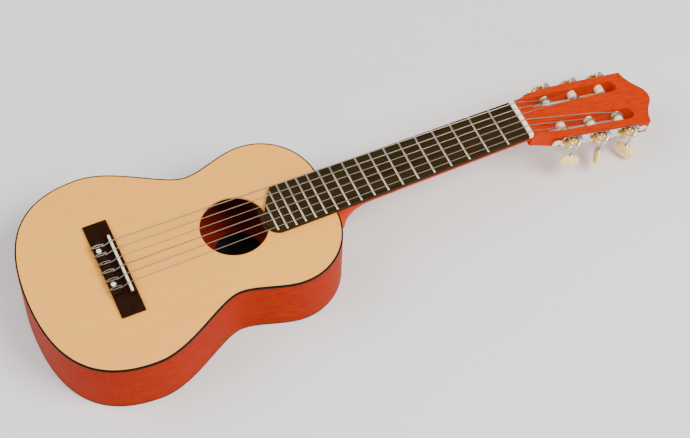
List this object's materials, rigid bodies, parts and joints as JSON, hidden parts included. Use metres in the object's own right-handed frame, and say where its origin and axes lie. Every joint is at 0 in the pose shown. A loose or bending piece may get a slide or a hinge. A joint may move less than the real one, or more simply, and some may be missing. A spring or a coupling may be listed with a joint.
{
  "type": "guitalele",
  "caption": "Small nylon-strung guitar with a round sound hole, slotted head, geared tuning machines and tie bridge, lying on its back.",
  "frame": {"origin": "under the middle of the overall length and width, on the plane of the back", "axes": "+X from the tail to the head, +Y to the bass side, +Z from the back to the soundboard"},
  "size_m": [0.694, 0.2288, 0.0803],
  "materials": {
    "spruce_top": "satin clear finish over straight-grained spruce",
    "mahogany": "satin orange-brown stain",
    "black_binding": "satin",
    "brace_spruce": "raw, sanded",
    "label_paper": "matte, bare",
    "neck_mahogany": "satin red-orange stain",
    "rosewood": "oiled, open-pored",
    "ivory_plastic": "polished",
    "nylon": "clear, smooth",
    "silvered_wire": "wound, bright",
    "nickel": "nickel plated",
    "cream_plastic": "semi-gloss",
    "brass": "bright"
  },
  "bodies": {
    "instrument": {"back_binding": "black_binding", "back_brace_lower": "brace_spruce", "back_brace_middle": "brace_spruce", "back_brace_upper": "brace_spruce", "back_lining_bass": "brace_spruce", "back_lining_treble": "brace_spruce", "back_plate": "mahogany", "bridge": "rosewood", "bridge_dot_bass": "ivory_plastic", "bridge_dot_treble": "ivory_plastic", "bridge_patch": "brace_spruce", "fretboard": "rosewood", "label": "label_paper", "neck": "neck_mahogany", "neck_block": "mahogany", "nut": "ivory_plastic", "rib_bass": "mahogany", "rib_treble": "mahogany", "saddle": "ivory_plastic", "soundboard": "spruce_top", "string_1": "nylon", "string_2": "nylon", "string_3": "nylon", "string_4": "silvered_wire", "string_5": "silvered_wire", "string_6": "silvered_wire", "tail_block": "mahogany", "top_binding": "black_binding", "top_brace_lower": "brace_spruce", "top_brace_tail": "brace_spruce", "top_brace_upper": "brace_spruce", "top_lining_bass": "brace_spruce", "top_lining_treble": "brace_spruce", "tuner_plate_bass": "nickel", "tuner_plate_treble": "nickel"},
    "button_shaft_bass_1": {"worm_bass_1": "nickel", "button_bass_1": "cream_plastic"},
    "string_post_bass_1": {"gear_bass_1": "brass", "roller_bass_1": "cream_plastic"},
    "button_shaft_bass_2": {"worm_bass_2": "nickel", "button_bass_2": "cream_plastic"},
    "string_post_bass_2": {"gear_bass_2": "brass", "roller_bass_2": "cream_plastic"},
    "button_shaft_bass_3": {"worm_bass_3": "nickel", "button_bass_3": "cream_plastic"},
    "string_post_bass_3": {"gear_bass_3": "brass", "roller_bass_3": "cream_plastic"},
    "button_shaft_treble_1": {"worm_treble_1": "nickel", "button_treble_1": "cream_plastic"},
    "string_post_treble_1": {"gear_treble_1": "brass", "roller_treble_1": "cream_plastic"},
    "button_shaft_treble_2": {"worm_treble_2": "nickel", "button_treble_2": "cream_plastic"},
    "string_post_treble_2": {"gear_treble_2": "brass", "roller_treble_2": "cream_plastic"},
    "button_shaft_treble_3": {"worm_treble_3": "nickel", "button_treble_3": "cream_plastic"},
    "string_post_treble_3": {"gear_treble_3": "brass", "roller_treble_3": "cream_plastic"}
  },
  "joints": [
    {"name": "turn_button_bass_1", "type": "hinge", "parent": "instrument", "child": "button_shaft_bass_1", "pos_m": [0.24082, 0.03805, 0.06514], "axis": [0.242, 0, 0.9703], "continuous": true},
    {"name": "turn_post_bass_1", "type": "hinge", "parent": "instrument", "child": "string_post_bass_1", "pos_m": [0.22995, 0.03304, 0.05909], "axis": [-0.0228, 0.9997, 0.0057], "continuous": true},
    {"name": "turn_button_bass_2", "type": "hinge", "parent": "instrument", "child": "button_shaft_bass_2", "pos_m": [0.27516, 0.03888, 0.05658], "axis": [0.242, 0, 0.9703], "continuous": true},
    {"name": "turn_post_bass_2", "type": "hinge", "parent": "instrument", "child": "string_post_bass_2", "pos_m": [0.26429, 0.03387, 0.05053], "axis": [-0.0228, 0.9997, 0.0057], "continuous": true},
    {"name": "turn_button_bass_3", "type": "hinge", "parent": "instrument", "child": "button_shaft_bass_3", "pos_m": [0.3095, 0.03972, 0.04801], "axis": [0.242, 0, 0.9703], "continuous": true},
    {"name": "turn_post_bass_3", "type": "hinge", "parent": "instrument", "child": "string_post_bass_3", "pos_m": [0.29863, 0.0347, 0.04196], "axis": [-0.0228, 0.9997, 0.0057], "continuous": true},
    {"name": "turn_button_treble_1", "type": "hinge", "parent": "instrument", "child": "button_shaft_treble_1", "pos_m": [0.24082, -0.03805, 0.06514], "axis": [0.242, 0, 0.9703], "continuous": true},
    {"name": "turn_post_treble_1", "type": "hinge", "parent": "instrument", "child": "string_post_treble_1", "pos_m": [0.22995, -0.03304, 0.05909], "axis": [-0.0228, -0.9997, 0.0057], "continuous": true},
    {"name": "turn_button_treble_2", "type": "hinge", "parent": "instrument", "child": "button_shaft_treble_2", "pos_m": [0.27516, -0.03888, 0.05658], "axis": [0.242, 0, 0.9703], "continuous": true},
    {"name": "turn_post_treble_2", "type": "hinge", "parent": "instrument", "child": "string_post_treble_2", "pos_m": [0.26429, -0.03387, 0.05053], "axis": [-0.0228, -0.9997, 0.0057], "continuous": true},
    {"name": "turn_button_treble_3", "type": "hinge", "parent": "instrument", "child": "button_shaft_treble_3", "pos_m": [0.3095, -0.03972, 0.04801], "axis": [0.242, 0, 0.9703], "continuous": true},
    {"name": "turn_post_treble_3", "type": "hinge", "parent": "instrument", "child": "string_post_treble_3", "pos_m": [0.29863, -0.0347, 0.04196], "axis": [-0.0228, -0.9997, 0.0057], "continuous": true}
  ],
  "couplings": [
    {"joint": "turn_post_bass_1", "follows": "turn_button_bass_1", "ratio": 0.071429},
    {"joint": "turn_post_bass_2", "follows": "turn_button_bass_2", "ratio": 0.071429},
    {"joint": "turn_post_bass_3", "follows": "turn_button_bass_3", "ratio": 0.071429},
    {"joint": "turn_post_treble_1", "follows": "turn_button_treble_1", "ratio": -0.071429},
    {"joint": "turn_post_treble_2", "follows": "turn_button_treble_2", "ratio": -0.071429},
    {"joint": "turn_post_treble_3", "follows": "turn_button_treble_3", "ratio": -0.071429}
  ]
}
